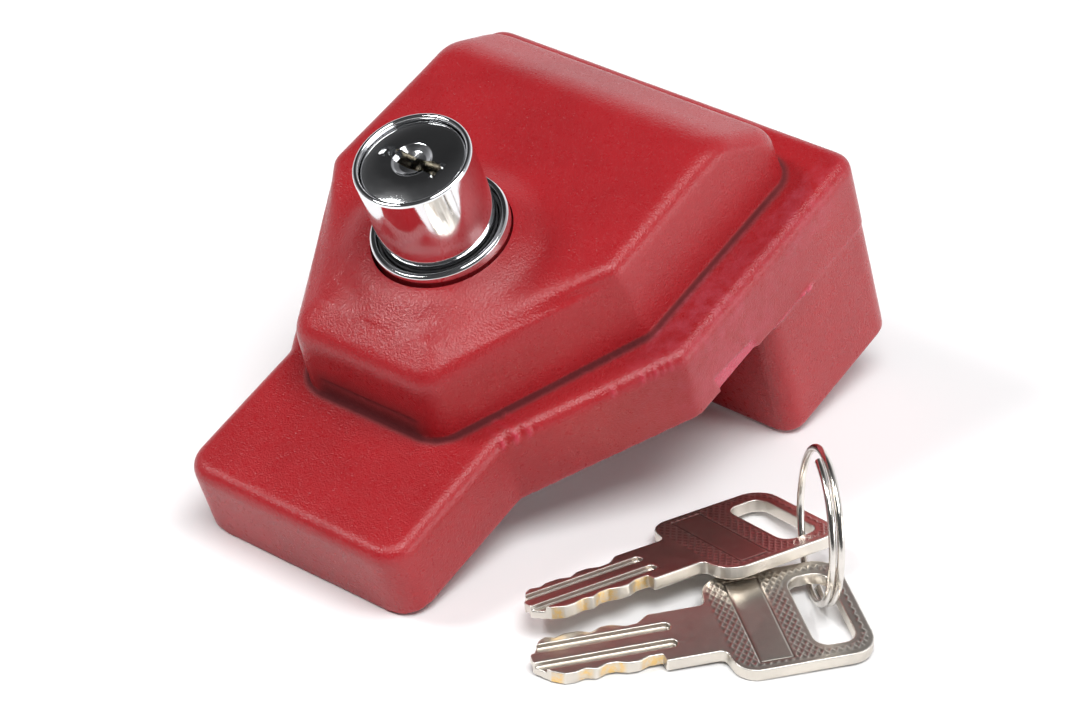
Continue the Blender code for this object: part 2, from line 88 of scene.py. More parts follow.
def place(parent, location, rotation=(0, 0, 0)):
    """A frame inside another one; location in mm, rotation in degrees."""
    turn = Euler([math.radians(a) for a in rotation]).to_matrix().to_4x4()
    return parent @ Matrix.Translation(Vector(location) * MM) @ turn


lean = math.radians(AXIS_LEAN)
TABLE = place(Matrix.Identity(4), ORIGIN)
LOCK = place(TABLE, (0, 0, 0), (0, -HOUSING_TILT, 0))
CYLINDER = place(LOCK, (AXIS_X + AXIS_Z * math.sin(lean), 0, AXIS_Z * (1 - math.cos(lean))),
                 (0, -AXIS_LEAN, 0))
CYLINDER_TO_LOCK = LOCK.inverted() @ CYLINDER  # for shapes in mm
CYLINDER_TO_LOCK.translation = CYLINDER_TO_LOCK.translation / MM
RING = place(TABLE, RING_CENTRE, (90 + RING_LEAN, 0, RING_YAW))
KEYS = {name: place(TABLE, tip, turn) for name, (tip, turn) in KEY_POSES.items()}


# ---------------------------------------------------------------- material nodes
class Nodes:
    """Short calls for building one material."""

    def __init__(self, name):
        self.mat = bpy.data.materials.new(name)
        self.mat.use_nodes = True
        self.tree = self.mat.node_tree
        self.shader = self.tree.nodes["Principled BSDF"]
        coords = self.tree.nodes.new("ShaderNodeTexCoord")
        self.coords = coords.outputs["Object"]

    def set(self, **values):
        """Uniform values on the shader's own sockets."""
        for key, value in values.items():
            socket = self.shader.inputs[key.replace("_", " ")]
            socket.default_value = (*value, 1.0) if isinstance(value, tuple) else value
        return self

    def link(self, source, socket):
        self.tree.links.new(source, self.shader.inputs[socket])

    def feed(self, node, key, value):
        if isinstance(value, bpy.types.NodeSocket):
            self.tree.links.new(value, node.inputs[key])
        else:
            node.inputs[key].default_value = value

    def math(self, operation, a, b=0.0, c=0.0):
        node = self.tree.nodes.new("ShaderNodeMath")
        node.operation = operation
        for i, value in enumerate((a, b, c)):
            self.feed(node, i, value)
        return node.outputs[0]

    def noise(self, scale, detail=3.0, rough=0.55, stretch=None, distortion=0.0):
        """Noise on object coordinates; scale in features per metre."""
        node = self.tree.nodes.new("ShaderNodeTexNoise")
        node.inputs["Scale"].default_value = scale
        node.inputs["Detail"].default_value = detail
        node.inputs["Roughness"].default_value = rough
        node.inputs["Distortion"].default_value = distortion
        self.tree.links.new(self.stretched(stretch), node.inputs["Vector"])
        return node.outputs["Fac"]

    def stretched(self, stretch):
        if stretch is None:
            return self.coords
        mapping = self.tree.nodes.new("ShaderNodeMapping")
        mapping.inputs["Scale"].default_value = stretch
        self.tree.links.new(self.coords, mapping.inputs["Vector"])
        return mapping.outputs["Vector"]

    def painted(self, name):
        """A 0 to 1 mask stored on the mesh; 0 where the mesh has none."""
        node = self.tree.nodes.new("ShaderNodeAttribute")
        node.attribute_name = name
        return node.outputs["Fac"]

    def ramp(self, value, stops):
        node = self.tree.nodes.new("ShaderNodeValToRGB")
        ramp = node.color_ramp
        while len(ramp.elements) < len(stops):
            ramp.elements.new(0.5)
        for element, (at, colour) in zip(ramp.elements, stops):
            element.position = at
            element.color = (*colour, 1.0) if isinstance(colour, tuple) else (colour,) * 3 + (1.0,)
        self.feed(node, 0, value)
        return node.outputs["Color"]

    def mottled(self, low, high, scale, detail=4, rough=0.55, distortion=0.0):
        """Colour drifting from low to high over a noise."""
        drift = self.noise(scale, detail, rough, None, distortion)
        return self.ramp(drift, ((0.3, low), (0.7, high)))

    def mix(self, factor, a, b):
        node = self.tree.nodes.new("ShaderNodeMix")
        node.data_type = "RGBA"
        self.feed(node, "Factor", factor)
        for key, value in (("A", a), ("B", b)):
            socket = next(s for s in node.inputs if s.name == key and s.type == "RGBA")
            if isinstance(value, bpy.types.NodeSocket):
                self.tree.links.new(value, socket)
            else:
                socket.default_value = (*value, 1.0)
        return next(s for s in node.outputs if s.type == "RGBA")

    def spread(self, value, low, high):
        """Map 0..1 onto low..high."""
        return self.math("MULTIPLY_ADD", value, high - low, low)

    def bump(self, height, distance, strength=1.0, under=None):
        node = self.tree.nodes.new("ShaderNodeBump")
        node.inputs["Strength"].default_value = strength
        node.inputs["Distance"].default_value = distance
        self.feed(node, "Height", height)
        if under:
            self.tree.links.new(under, node.inputs["Normal"])
        return node.outputs["Normal"]


def red_plastic():
    """Satin moulded plastic with a fine grain.

    Masks: edge is paler; the shade mask is painted shade, dark and dull; scuff hazy; polish glossier;
    the flash mask pink and glossy, and a painted highlight on the nicks and the bead's paler bits.
    """
    m = Nodes("red_plastic_look").set(Specular_IOR_Level=0.42)
    body = m.mottled((0.30, 0.009, 0.013), (0.37, 0.013, 0.018), 45, 4, 0.6)
    grain = m.noise(2600, 2, 0.6)
    speck = m.math("MULTIPLY", m.ramp(grain, ((0.58, 0.0), (0.74, 1.0))), 0.16)
    body = m.mix(speck, body, (0.62, 0.10, 0.12))
    patchy = m.ramp(m.noise(700, 4, 0.7), ((0.4, 0.1), (0.7, 1.0)))
    edge = m.math("MULTIPLY", m.painted("edge"), patchy)
    body = m.mix(m.math("MULTIPLY", edge, 0.22), body, (0.55, 0.08, 0.10))
    # painted shade: creases, the dome's joint and the foot of its front wall darkened
    body = m.mix(m.math("MULTIPLY", m.painted("painted_shade"), 0.85), body, (0.045, 0.001, 0.003))
    scratches = m.ramp(m.noise(260, 8, 0.75, (1, 6, 1), 1.2), ((0.62, 0.0), (0.66, 1.0)))
    body = m.mix(m.math("MULTIPLY", scratches, 0.06), body, (0.7, 0.2, 0.22))
    smudges = m.ramp(m.noise(420, 6, 0.7), ((0.38, 0.0), (0.68, 1.0)))
    haze = m.math("MULTIPLY", m.painted("scuff"), smudges)
    body = m.mix(m.math("MULTIPLY", haze, 0.45), body, (0.50, 0.085, 0.125))
    # pink, glossy flash and trim, and a painted highlight on the nicks' streaks and the bead's paler
    # bits
    body = m.mix(m.math("MULTIPLY", m.painted("flash_and_glint"), 0.8), body, (0.62, 0.06, 0.12))
    m.link(body, "Base Color")
    rough = m.spread(m.noise(900, 3), 0.22, 0.36)
    rough = m.math("MULTIPLY_ADD", haze, 0.14, rough)
    rough = m.math("MULTIPLY_ADD", m.painted("painted_shade"), 0.60, rough)
    rough = m.math("MULTIPLY_ADD", m.painted("polish"), -0.11, rough)
    rough = m.math("MULTIPLY_ADD", m.painted("flash_and_glint"), -0.1, rough)
    m.link(m.math("MAXIMUM", rough, 0.13), "Roughness")
    fine = m.bump(m.noise(2700, 2, 0.55), 0.00014, 0.85)
    m.link(m.bump(m.noise(1100, 2, 0.5), 0.00005, 0.5, fine), "Normal")
    return m.mat


def chrome(name="chrome_look", tint=(0.86, 0.865, 0.88), low=0.035, high=0.10):
    """Polished chrome plate: faint smears, hairline scratches, very slight waviness."""
    m = Nodes(name).set(Metallic=1.0, Base_Color=tint)
    smear = m.noise(240, 5, 0.6, (1, 1, 2.5), 0.6)
    hair = m.ramp(m.noise(1500, 6, 0.8, (1, 14, 1), 0.4), ((0.66, 0.0), (0.72, 1.0)))
    rough = m.spread(smear, low, high)
    m.link(m.math("MULTIPLY_ADD", hair, 0.06, rough), "Roughness")
    m.link(m.mottled(tuple(c * 0.93 for c in tint), tint, 120), "Base Color")
    wave = m.bump(m.noise(160, 2), 0.00005, 0.35)
    m.link(m.bump(m.noise(4200, 3, 0.7), 0.000006, 0.5, wave), "Normal")
    return m.mat


def nickel(name, tint):
    """Stamped nickel-plated sheet: satin faces, paler rubbed edges and knurl lines (a painted
    highlight), painted shade in the hollows, brassy cuts.
    """
    m = Nodes(name).set(Metallic=1.0)
    base = m.ramp(m.noise(130, 5, 0.6), ((0.3, tuple(c * 0.86 for c in tint)), (0.72, tint)))
    # painted shade in the hollows, creases and grooves
    base = m.mix(m.math("MULTIPLY", m.painted("painted_shade"), 0.75), base, (0.16, 0.12, 0.10))
    # paler rubbed edges, and a painted highlight on the knurl's raised lines
    base = m.mix(m.math("MULTIPLY", m.painted("edge"), 0.45), base, (0.86, 0.83, 0.78))
    worn = m.ramp(m.noise(900, 4, 0.65), ((0.42, 0.25), (0.6, 1.0)))
    base = m.mix(m.math("MULTIPLY", m.painted("cut"), worn), base, (0.80, 0.56, 0.24))
    m.link(base, "Base Color")
    rough = m.spread(m.noise(700, 4, 0.6), 0.24, 0.38)
    rough = m.math("MULTIPLY_ADD", m.painted("cut"), 0.12, rough)
    m.link(rough, "Roughness")
    pits = m.bump(m.noise(2400, 3, 0.6), 0.00003, 0.5)
    hair = m.noise(1300, 5, 0.8, (1, 10, 1), 0.3)
    m.link(m.bump(hair, 0.00002, 0.45, pits), "Normal")
    return m.mat


def wire_nickel():
    """Bright nickel-plated spring wire."""
    m = Nodes("ring_wire_look").set(Metallic=1.0)
    tint = (0.80, 0.76, 0.71)
    m.link(m.mottled(tuple(c * 0.8 for c in tint), tint, 300), "Base Color")
    m.link(m.spread(m.noise(1100, 4, 0.6), 0.10, 0.24), "Roughness")
    m.link(m.bump(m.noise(2200, 3, 0.6), 0.00002, 0.5), "Normal")
    return m.mat


def zinc():
    """Dull zinc-plated steel for the hidden pieces."""
    m = Nodes("zinc_look").set(Metallic=1.0)
    m.link(m.mottled((0.42, 0.43, 0.45), (0.66, 0.66, 0.64), 220, 5, 0.65, 0.5), "Base Color")
    m.link(m.spread(m.noise(500, 4), 0.26, 0.46), "Roughness")
    m.link(m.bump(m.noise(1800, 4, 0.7), 0.00004, 0.5), "Normal")
    return m.mat


def brass():
    m = Nodes("brass_look").set(Metallic=1.0)
    m.link(m.mottled((0.58, 0.46, 0.28), (0.78, 0.67, 0.46), 400), "Base Color")
    m.link(m.spread(m.noise(900, 4), 0.18, 0.36), "Roughness")
    m.link(m.bump(m.noise(2500, 3, 0.6, (1, 1, 5)), 0.00003, 0.4), "Normal")
    return m.mat


def rubber():
    m = Nodes("rubber_look").set(Specular_IOR_Level=0.4)
    m.link(m.mottled((0.012, 0.012, 0.013), (0.03, 0.03, 0.032), 500), "Base Color")
    m.link(m.spread(m.noise(900, 3), 0.5, 0.75), "Roughness")
    m.link(m.bump(m.noise(2600, 3), 0.00005, 0.5), "Normal")
    return m.mat


def floor_paint():
    m = Nodes("floor_look").set(Specular_IOR_Level=0.25)
    m.link(m.mottled((0.91, 0.91, 0.913), (0.94, 0.94, 0.941), 9, 3), "Base Color")
    m.link(m.spread(m.noise(60, 3), 0.55, 0.7), "Roughness")
    m.link(m.bump(m.noise(1500, 3), 0.00002, 0.3), "Normal")
    return m.mat


RED, CHROME, ZINC, BRASS, RUBBER = red_plastic(), chrome(), zinc(), brass(), rubber()
PLUG_CHROME = chrome("plug_face_look", (0.72, 0.73, 0.74), 0.06, 0.16)
WIRE = wire_nickel()
NICKEL = {"key_1": nickel("key_1_look", (0.74, 0.69, 0.62)),
          "key_2": nickel("key_2_look", (0.72, 0.67, 0.60))}


# ---------------------------------------------------------------- mesh helpers
def piece(name, mesh, mat, where, body, nodes, sharp=40.0):
    """Make a finished piece from a mesh in mm, put it in its frame and let it ride on its body.

    The place goes into the mesh, so that each object's box is as tight as its shape.
    """
    mesh.transform(where @ Matrix.Scale(MM, 4))
    mesh.shade_smooth()
    if sharp:
        mesh.set_sharp_from_angle(angle=math.radians(sharp))
    mesh.materials.clear()
    mesh.materials.append(mat)
    obj = bpy.data.objects.new(name, mesh)
    scene.collection.objects.link(obj)
    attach(obj, body)
    if nodes:
        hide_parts(*nodes)
    return obj


def to_mesh(name, bm):
    """A mesh from a bmesh, which is freed."""
    bmesh.ops.recalc_face_normals(bm, faces=bm.faces)
    mesh = bpy.data.meshes.new(name)
    bm.to_mesh(mesh)
    bm.free()
    return mesh


def temporary(name, bm):
    obj = bpy.data.objects.new("tmp_" + name, to_mesh(name, bm))
    scene.collection.objects.link(obj)
    return obj


def combine(base, joins=(), cuts=(), voxel=0.0, bevel=0.0):
    """A bmesh with others joined to it and then cut from it, as a mesh."""
    obj = temporary("base", base)
    helpers = []
    steps = [(bm, "UNION") for bm in joins] + [(bm, "DIFFERENCE") for bm in cuts]
    for i, (bm, operation) in enumerate(steps):
        helper = temporary(f"step_{i}", bm)
        helpers.append(helper)
        mod = obj.modifiers.new(f"b{i}", "BOOLEAN")
        mod.operation, mod.solver, mod.object = operation, "EXACT", helper
    if bevel:
        mod = obj.modifiers.new("bevel", "BEVEL")
        mod.width, mod.segments, mod.limit_method = bevel, 2, "ANGLE"
        mod.angle_limit = math.radians(40)
        mod.use_clamp_overlap = True
    if voxel:
        mod = obj.modifiers.new("voxel", "REMESH")
        mod.mode, mod.voxel_size = "VOXEL", voxel
    mesh = evaluated(obj)
    for o in [obj] + helpers:
        bpy.data.objects.remove(o, do_unlink=True)
    return mesh


def rounded(corners, steps=8):
    """Outline points from (x, y, radius) corners."""
    points = []
    for i, (x, y, r) in enumerate(corners):
        here = Vector((x, y))
        a = (Vector(corners[i - 1][:2]) - here).normalized()
        b = (Vector(corners[(i + 1) % len(corners)][:2]) - here).normalized()
        if r <= 0:
            points.append(here)
            continue
        half = a.angle(b) / 2
        centre = here + (a + b).normalized() * (r / math.sin(half))
        start = here + a * (r / math.tan(half)) - centre
        turn = math.pi - 2 * half
        if a.x * b.y - a.y * b.x > 0:
            turn = -turn
        for k in range(steps + 1):
            t = turn * k / steps
            points.append(centre + Vector((start.x * math.cos(t) - start.y * math.sin(t),
                                           start.x * math.sin(t) + start.y * math.cos(t))))
    return points


def prism(outline, low, high):
    """A straight solid from z low to z high over an outline."""
    bm = bmesh.new()
    face = bm.faces.new([bm.verts.new((p[0], p[1], low)) for p in outline])
    grown = bmesh.ops.extrude_face_region(bm, geom=[face])
    bmesh.ops.translate(bm, vec=(0, 0, high - low),
                        verts=[v for v in grown["geom"] if isinstance(v, bmesh.types.BMVert)])
    bmesh.ops.recalc_face_normals(bm, faces=bm.faces)
    return bm


def round_rim(bm, height, radius, segments):
    """Round the edges that lie at one height."""
    rim = [e for e in bm.edges if all(abs(v.co.z - height) < 1e-4 for v in e.verts)]
    bmesh.ops.bevel(bm, geom=rim, offset=radius, segments=segments, profile=0.5,
                    affect="EDGES", clamp_overlap=True)
    return bm


def box(low, high):
    return prism([(low[0], low[1]), (high[0], low[1]), (high[0], high[1]), (low[0], high[1])],
                 low[2], high[2])


def rod(radius, low, high, at=(0, 0), steps=96):
    return prism([(at[0] + radius * math.cos(2 * math.pi * k / steps),
                   at[1] + radius * math.sin(2 * math.pi * k / steps)) for k in range(steps)],
                 low, high)


def moved(bm, matrix):
    bmesh.ops.transform(bm, matrix=matrix, verts=bm.verts)
    return bm


def soften(profile, radius, steps=3):
    """Round a closed (r, z) profile's corners by small curves; points on the axis stay."""
    out = []
    for i, p in enumerate(profile):
        p = Vector(p)
        a, b = Vector(profile[i - 1]) - p, Vector(profile[(i + 1) % len(profile)]) - p
        cut = min(radius, a.length * 0.45, b.length * 0.45)
        if p.x < 1e-6 or a.angle(b) > math.radians(172):
            out.append(p)
            continue
        a, b = p + a.normalized() * cut, p + b.normalized() * cut
        for k in range(steps + 1):
            t = k / steps
            out.append(a.lerp(p, t).lerp(p.lerp(b, t), t))
    return out


def lathe(profile, steps=128, radius=0.12):
    """Solid of revolution about Z from closed (radius, z) points."""
    profile = soften(profile, radius) if radius else [Vector(p) for p in profile]
    bm = bmesh.new()
    rings = []
    for p in profile:
        if p.x < 1e-6:
            rings.append([bm.verts.new((0, 0, p.y))])
        else:
            rings.append([bm.verts.new((p.x * math.cos(2 * math.pi * k / steps),
                                        p.x * math.sin(2 * math.pi * k / steps), p.y))
                          for k in range(steps)])
    for low, high in zip(rings, rings[1:] + rings[:1]):
        if len(low) == 1 and len(high) == 1:
            continue
        for k in range(steps):
            j = (k + 1) % steps
            corners = [low[k % len(low)], low[j % len(low)], high[j % len(high)], high[k % len(high)]]
            bm.faces.new(list(dict.fromkeys(corners)))
    bmesh.ops.recalc_face_normals(bm, faces=bm.faces)
    return bm


def sweep(points, radius, sides=14, squash=1.0, up=None):
    """A wire along points with flat ends; radius may be one number or one per point."""
    count = len(points)
    radii = radius if hasattr(radius, "__len__") else [radius] * count
    bm = bmesh.new()
    rings = []
    side = None
    for i, p in enumerate(points):
        ahead = (points[min(i + 1, count - 1)] - points[max(i - 1, 0)]).normalized()
        seed = Vector(up) if up is not None else (side or Vector((0.13, 0.3, 0.94)))
        side = (seed - ahead * seed.dot(ahead)).normalized()
        other = ahead.cross(side)
        rings.append([bm.verts.new(p + (side * math.cos(a) * squash + other * math.sin(a)) * radii[i])
                      for a in (2 * math.pi * k / sides for k in range(sides))])
    for low, high in zip(rings, rings[1:]):
        for k in range(sides):
            j = (k + 1) % sides
            bm.faces.new((low[k], low[j], high[j], high[k]))
    bm.faces.new(rings[0])
    bm.faces.new(rings[-1])
    bmesh.ops.recalc_face_normals(bm, faces=bm.faces)
    return bm


def lattice_noise(points, size, seed):
    """Smooth value noise from -1 to 1 with cells of one size."""
    q = points / size
    cell = np.floor(q).astype(np.int64)
    f = q - cell
    f = f * f * (3 - 2 * f)
    total = np.zeros(len(points))
    for dx in (0, 1):
        for dy in (0, 1):
            for dz in (0, 1):
                h = ((cell[:, 0] + dx) * 73856093) ^ ((cell[:, 1] + dy) * 19349663)
                h = h ^ ((cell[:, 2] + dz) * 83492791) ^ (seed * 2654435761)
                h = (h ^ (h >> 13)) * 1274126177 & 0x7FFFFFFF
                value = (h ^ (h >> 16)) % 65536 / 32768.0 - 1.0
                weight = (f[:, 0] if dx else 1 - f[:, 0]) * (f[:, 1] if dy else 1 - f[:, 1])
                total += value * weight * (f[:, 2] if dz else 1 - f[:, 2])
    return total


def bell(values, width):
    return np.exp(-(values / width) ** 2)


def rise(values, width):
    """0 below zero, then up to 1 over the width."""
    return np.clip(values / width, 0, 1)


class Skin:
    """A mesh as arrays, for smoothing, small displacements and painted attributes."""

    def __init__(self, mesh):
        self.mesh = mesh
        n = len(mesh.vertices)
        self.co = np.zeros(n * 3)
        mesh.vertices.foreach_get("co", self.co)
        self.co = self.co.reshape(-1, 3)
        self.edges = np.zeros(len(mesh.edges) * 2, np.int64)
        mesh.edges.foreach_get("vertices", self.edges)
        self.edges = self.edges.reshape(-1, 2)
        self.degree = np.maximum(np.bincount(self.edges.ravel(), minlength=n), 1)

    def average(self, values):
        """Each vertex's mean over its neighbours."""
        a, b = self.edges[:, 0], self.edges[:, 1]
        out = np.zeros_like(values)
        columns = values.reshape(len(values), -1)
        flat = out.reshape(len(values), -1)
        for i in range(columns.shape[1]):
            flat[:, i] = (np.bincount(a, columns[b, i], len(values))
                          + np.bincount(b, columns[a, i], len(values))) / self.degree
        return out

    def smooth(self, times, share=0.6):
        for _ in range(times):
            self.co += (self.average(self.co) - self.co) * share

    def normals(self):
        self.store()
        out = np.zeros(len(self.co) * 3, np.float32)
        self.mesh.vertex_normals.foreach_get("vector", out)
        return out.reshape(-1, 3).astype(float)

    def bend(self, times=2):
        """Positive on ridges, negative in hollows, in mm."""
        normal = self.normals()
        bend = ((self.co - self.average(self.co)) * normal).sum(1)
        for _ in range(times):
            bend = self.average(bend)
        return bend

    def store(self):
        self.mesh.vertices.foreach_set("co", self.co.astype(np.float32).ravel())
        self.mesh.update()

    def paint(self, name, values):
        layer = self.mesh.attributes.new(name, "FLOAT", "POINT")
        layer.data.foreach_set("value", np.clip(values, 0, 1).astype(np.float32))


def evaluated(obj):
    """The object's mesh with its modifiers applied."""
    return bpy.data.meshes.new_from_object(obj.evaluated_get(bpy.context.evaluated_depsgraph_get()))


def thinned(mesh, share):
    """The mesh with fewer faces where it is flat."""
    obj = bpy.data.objects.new("tmp_thin", mesh)
    scene.collection.objects.link(obj)
    mod = obj.modifiers.new("thin", "DECIMATE")
    mod.ratio = share
    out = evaluated(obj)
    bpy.data.objects.remove(obj, do_unlink=True)
    return out


def drilled(mesh, cutter):
    """Cut one crisp hole in a finished skin."""
    obj = bpy.data.objects.new("tmp_drill", mesh)
    scene.collection.objects.link(obj)
    helper = temporary("drill", cutter)
    mod = obj.modifiers.new("hole", "BOOLEAN")
    mod.operation, mod.solver, mod.object = "DIFFERENCE", "EXACT", helper
    out = evaluated(obj)
    for o in (obj, helper):
        bpy.data.objects.remove(o, do_unlink=True)
    return out


# ---------------------------------------------------------------- housing
def mirrored(half):
    """A whole outline from the corners of its half at positive y."""
    return [(x, -y, r) for x, y, r in half] + [(x, y, r) for x, y, r in reversed(half)]


def smooth_path(points, cuts, steps):
    """The path with each inner corner cut back by its own length and curved."""
    path = [points[0]]
    for i in range(1, len(points) - 1):
        p, q, r = points[i - 1], points[i], points[i + 1]
        a = q + (p - q).normalized() * cuts[i - 1]
        b = q + (r - q).normalized() * cuts[i - 1]
        for k in range(steps + 1):
            t = k / steps
            path.append(a.lerp(q, t).lerp(q.lerp(b, t), t))
    return path


def dome():
    """Loft of the dome from its foot to its sloped top."""
    slope = (DOME_TOP[2][2] - DOME_TOP[0][2]) / (DOME_TOP[2][0] - DOME_TOP[0][0])
    columns = []
    for foot, shoulder, top, bends in zip(DOME_FOOT, DOME_SHOULDER, DOME_TOP, DOME_BENDS):
        foot, shoulder, top = Vector(foot), Vector(shoulder), Vector(top)
        inward = Vector((62.0 - top.x, -top.y, 0)).normalized()
        inner = top + Vector((inward.x, inward.y, inward.x * slope)) * 8
        sunk = Vector((foot.x, foot.y, foot.z - 4))
        columns.append([sunk, foot] + smooth_path([foot, shoulder, top, inner], bends, 9)[1:])
    bm = bmesh.new()
    rings = []
    levels = len(columns[0])
    for k in range(levels):
        corner = [col[k] for col in columns]
        radius = 6.0 - 3.4 * k / levels
        xs, zs = [c.x for c in corner], [c.z for c in corner]
        ring = []
        for p in rounded(mirrored([(c.x, c.y, radius) for c in corner]), 12):
            x = min(max(p[0], xs[0]), xs[2])
            i = 0 if x < xs[1] else 1
            ring.append(bm.verts.new((p[0], p[1], zs[i] + (zs[i + 1] - zs[i]) * (x - xs[i])
                                      / (xs[i + 1] - xs[i]))))
        rings.append(ring)
    for low, high in zip(rings, rings[1:]):
        for i, v in enumerate(low):
            j = (i + 1) % len(low)
            bm.faces.new((v, low[j], high[j], high[i]))
    bm.faces.new(rings[-1])
    bm.faces.new(list(reversed(rings[0])))
    bmesh.ops.recalc_face_normals(bm, faces=bm.faces)
    return bm


def cover_outline(inset, radius, steps):
    low, high, half = COVER_X0 + inset, COVER_X1 - inset, COVER_HALF - inset
    return rounded([(low, -half, radius), (high, -half, radius), (high, half, radius),
                    (low, half, radius)], steps)


def housing_solid():
    """The moulded body with its jaw slot, cavity and holes, remeshed to an even skin."""
    plate_half = [(0, TONGUE_HALF, 5.4), (KINK_X, TONGUE_HALF, 2.5), (FLARE_X, PLATE_HALF, 4.0),
                  (BACK_X, PLATE_HALF, 4.2)]
    plate = round_rim(prism(rounded(mirrored(plate_half), 10), 0, PLATE_T), PLATE_T, PLATE_EDGE_R, 9)
    side, back = PLATE_HALF - PARTING_STEP, BACK_X - PARTING_STEP
    leg = prism(rounded(mirrored([(LEG_X, side, 4.0), (back, side, 4.2)]), 10), -LEG_DEPTH, 8)
    leg = round_rim(leg, -LEG_DEPTH, 1.0, 4)
    boss = lathe([(0, BOSS[0][1])] + list(BOSS) + [(0, BOSS[-1][1])], 96, 0)
    boss = moved(boss, Matrix.Translation((BOSS_X, 0, 0))
                 @ Matrix.Rotation(math.radians(-BOSS_SLOPE), 4, "Y"))
    cuts = [rod(SLOT_R, SLOT_LOW, SLOT_HIGH, (AXIS_X, 0), 120),
            prism(cover_outline(-0.3, 4.3, 8), -2, COVER_RECESS),
            moved(rod(SLEEVE_BODY_R + 0.3, -6, 27.7), CYLINDER_TO_LOCK)]
    cuts += [rod(2.2, -1, 13.6, spot, 32) for spot in SCREW_SPOTS]
    return combine(plate, (leg, dome(), boss), cuts, voxel=0.42)


def blend_boss(skin):
    """Melt the boss round the sleeve into the dome's top."""
    x, y, z = skin.co.T
    reach = np.hypot(x - BOSS_X, y)
    share = 0.62 * rise(reach - 13.2, 1.0) * rise(27.0 - reach, 4.0)
    share = share * rise(z - 30.6, 0.8) * rise(x - 32.4, 0.8)
    for _ in range(60):
        skin.co += (skin.average(skin.co) - skin.co) * share[:, None]


def shift_far_side(skin):
    """The far side as moulded: the dome a little fuller, the plate's edge a little in."""
    x, y, z = skin.co.T
    far = (y > 12) * bell(x - 52, 24)
    skin.co[:, 1] += far * np.where(z > PLATE_T + 0.5, 1.1 * rise(z - PLATE_T, 4), 0)
    skin.co[:, 1] -= far * 1.5 * rise(y - 26, 6) * (z < PLATE_T + 0.5) * (z > 0.6)


def flash_marks(skin, normal):
    """Ragged flash along the leg's parting line, and two blobs of it on the near wall."""
    x, y, z = skin.co.T
    wall = np.abs(normal[:, 2]) < 0.55
    near_wall = y < -PLATE_HALF + 1.5
    on_leg = wall & (x > LEG_X - 16) & ((np.abs(y) > PLATE_HALF - 1.2) | (x > BACK_X - 1.2))
    ragged = 0.65 + 0.5 * lattice_noise(skin.co, 2.3, 4) + 0.3 * lattice_noise(skin.co, 0.9, 5)
    fade = 0.45 + 0.55 * bell(x - 86.0, 9.0) * near_wall
    line = bell(z - 0.05, 0.30) * on_leg * np.clip(ragged, 0.1, 1.2) * fade
    blob = bell(np.hypot(x - 93.9, (z + 0.1) * 1.2), 0.75) * near_wall * wall
    blob = np.maximum(blob, 0.8 * bell(np.hypot(x - 92.1, (z - 0.3) * 1.6), 0.55) * near_wall)
    return line, blob


def trim_marks(skin):
    """The patch beside the leg where the near wall was cut back, with slanting ends."""
    x, y, z = skin.co.T
    slant = x + (z - 2.0) * 0.25
    trim = rise(slant - 66.2, 0.4) * rise(78.2 - slant, 1.2)
    trim = trim * rise(4.6 - (slant - 66.0) * 0.12 - z, 0.4) * (z > -0.7)
    return trim * (y < -PLATE_HALF + 3.5)


# Nicks across the plate's rounded upper edge on the near side: (x, width, size).
NICKS = ((30.7, 0.42, 0.9), (33.0, 0.45, 1.0), (35.1, 0.40, 0.8), (36.3, 0.3, 0.3),
         (48.8, 0.38, 0.5), (53.7, 0.40, 0.6), (54.7, 0.32, 0.5), (55.7, 0.36, 0.7),
         (57.0, 0.32, 0.4), (58.3, 0.35, 0.45))
NICK_Z, NICK_SLANT = 14.3, 0.45


def nick_marks(skin):
    x, y, z = skin.co.T
    near = (y < -20) & (z > 12.0) & (z < 15.7)
    nicks = np.zeros(len(x))
    for at, width, size in NICKS:
        across = x - (z - NICK_Z) * NICK_SLANT - at
        nicks += size * (bell(across, width) - 0.6 * bell(across - 0.8, width))
    return nicks * near * bell(z - NICK_Z, 1.05)


def scuff_marks(skin):
    """Haze over the near side's widest part."""
    x, y, z = skin.co.T
    haze = (y < -34) * (z > -1.0) * bell(x - 72, 17) * rise(z + 1, 4)
    return np.maximum(haze, 0.9 * (y < -36) * (z > 9.0) * bell(x - 97, 13))


